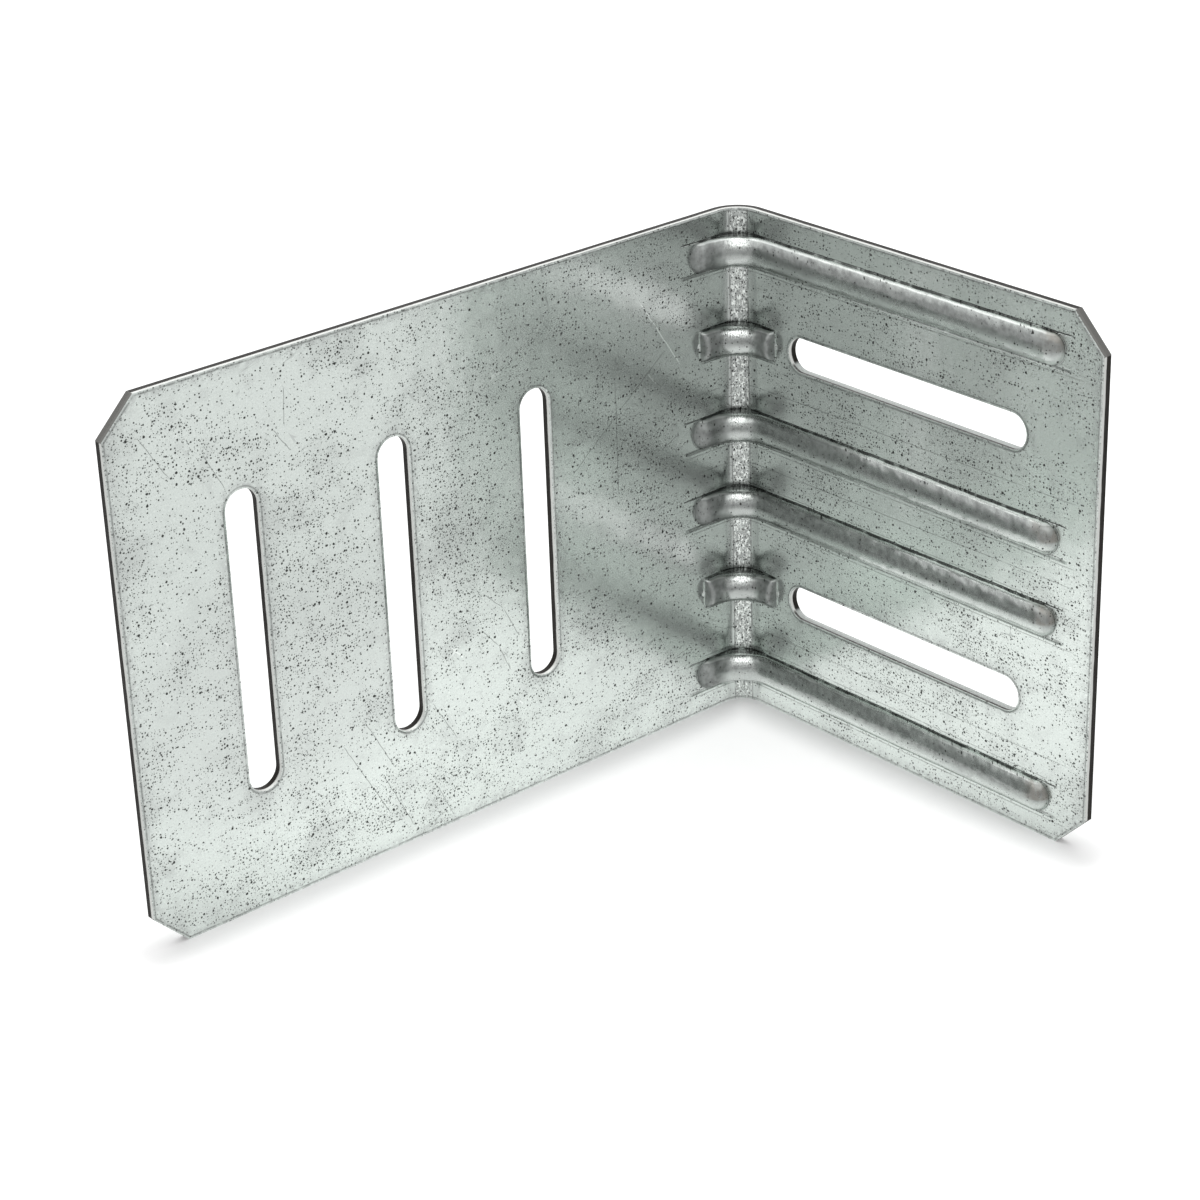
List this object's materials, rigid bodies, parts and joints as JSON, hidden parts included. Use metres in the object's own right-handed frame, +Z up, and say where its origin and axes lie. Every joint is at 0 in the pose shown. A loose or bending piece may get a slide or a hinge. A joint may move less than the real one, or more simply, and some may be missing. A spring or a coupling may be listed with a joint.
{
  "type": "drift clip",
  "caption": "Folded angle of galvanised steel sheet with slotted legs and stiffening ribs pressed through its fold.",
  "frame": {"origin": "centre of the bounding box at its base: mid-way along both legs, level with the lower edges that the clip stands on", "axes": "+Z up along the fold; +X along the long leg towards the fold, so the short leg's outer face looks along +X; +Y from the short leg's free end towards the long leg, whose outer face looks along +Y"},
  "size_m": [0.1408, 0.09, 0.1016],
  "materials": {
    "galvanised_steel": "galvanised, satin, with fine dark specks and scratches"
  },
  "bodies": {
    "root": {"drift_clip": "galvanised_steel"}
  },
  "joints": []
}
